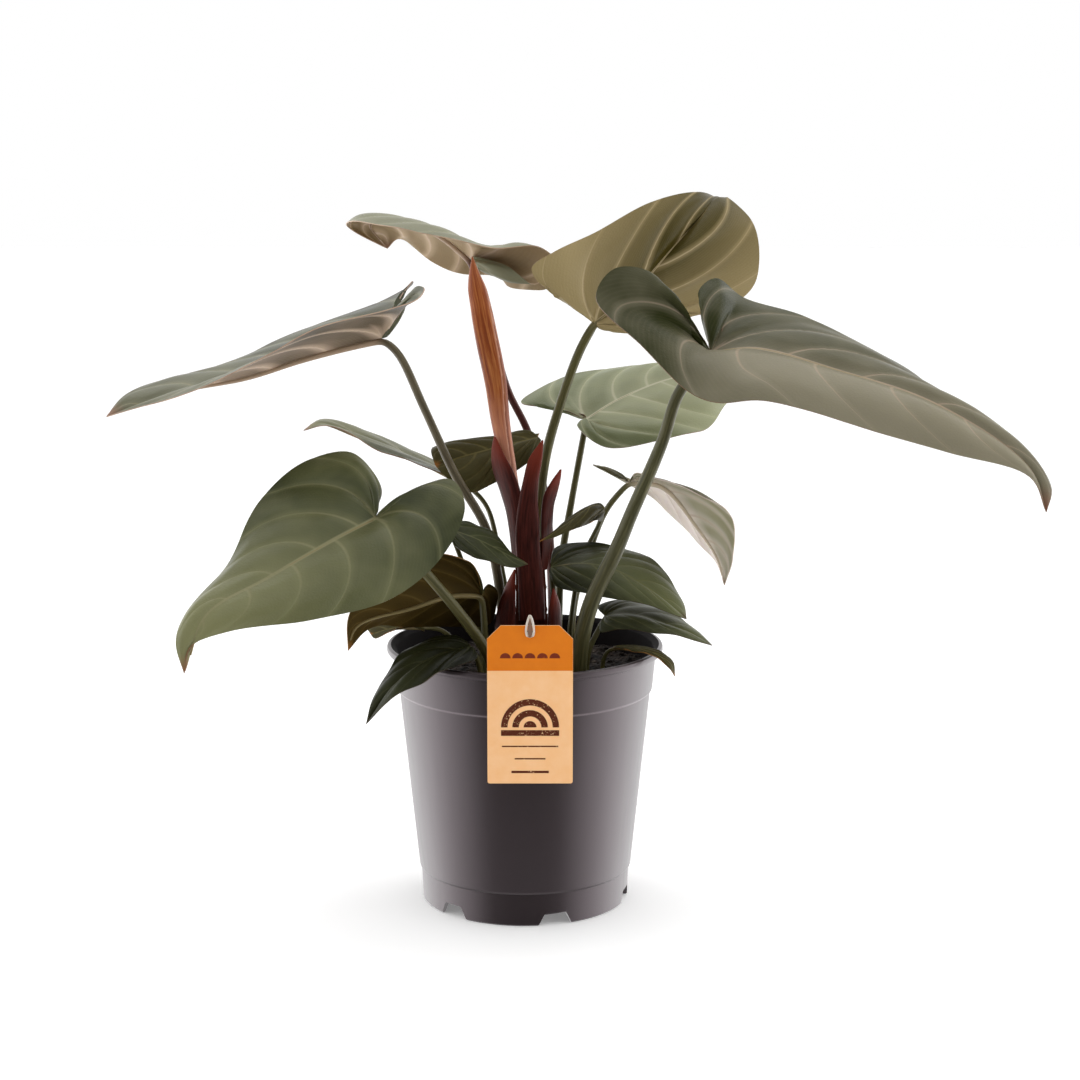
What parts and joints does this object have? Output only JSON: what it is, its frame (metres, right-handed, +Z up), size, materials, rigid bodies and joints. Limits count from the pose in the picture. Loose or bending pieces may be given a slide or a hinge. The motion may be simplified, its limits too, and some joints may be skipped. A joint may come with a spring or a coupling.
{
  "type": "potted philodendron house plant",
  "caption": "Large-leaved philodendron with heart-shaped blades, long stalks and a copper new leaf, in a ribless tapered nursery pot with a hang tag.",
  "frame": {"origin": "on the pot's axis, on the surface that the pot stands on", "axes": "+Z up, the front with the tag at -Y, and +X to the right, along the plant's longest extent"},
  "size_m": [0.5446, 0.3088, 0.4324],
  "materials": {
    "pot_plastic": "satin",
    "potting_soil": "matte",
    "sheath_maroon": "satin",
    "rolled_leaf_copper": "satin",
    "leaf_top": "satin",
    "leaf_underside": "satin",
    "leaf_low": "satin",
    "petiole_olive": "satin",
    "petiole_red": "satin",
    "tag_print": "satin",
    "tie_plastic": "gloss"
  },
  "bodies": {
    "root": {"pot": "pot_plastic", "soil": "potting_soil", "crown_stem": "sheath_maroon", "sheath_left": "sheath_maroon", "sheath_middle": "sheath_maroon", "sheath_right": "sheath_maroon", "sheath_low_left": "sheath_maroon", "sheath_low_right": "sheath_maroon", "rolled_leaf": "rolled_leaf_copper", "blade_left_front": "leaf_top", "petiole_left_front": "petiole_olive", "blade_right_front": "leaf_top", "petiole_right_front": "petiole_olive", "blade_far_left": "leaf_top", "petiole_far_left": "petiole_olive", "blade_top_left": "leaf_top", "petiole_top_left": "petiole_red", "blade_top_right": "leaf_underside", "petiole_top_right": "petiole_olive", "blade_middle_right": "leaf_top", "petiole_middle_right": "petiole_olive", "blade_left_sliver": "leaf_top", "petiole_left_sliver": "petiole_olive", "blade_middle_left": "leaf_low", "petiole_middle_left": "petiole_olive", "blade_behind_left_front": "leaf_underside", "petiole_behind_left_front": "petiole_olive", "blade_right_drooping": "leaf_underside", "petiole_right_drooping": "petiole_olive", "blade_small_arched": "leaf_low", "petiole_small_arched": "petiole_olive", "blade_right_low": "leaf_low", "petiole_right_low": "petiole_olive", "blade_right_lower": "leaf_low", "petiole_right_lower": "petiole_olive", "blade_over_right_rim": "leaf_low", "petiole_over_right_rim": "petiole_olive", "blade_over_front_rim": "leaf_low", "petiole_over_front_rim": "petiole_olive", "blade_behind_left_rim": "leaf_low", "petiole_behind_left_rim": "petiole_olive", "blade_left_centre": "leaf_low", "petiole_left_centre": "petiole_olive", "tag_card": "tag_print", "tag_tie": "tie_plastic"}
  },
  "joints": []
}
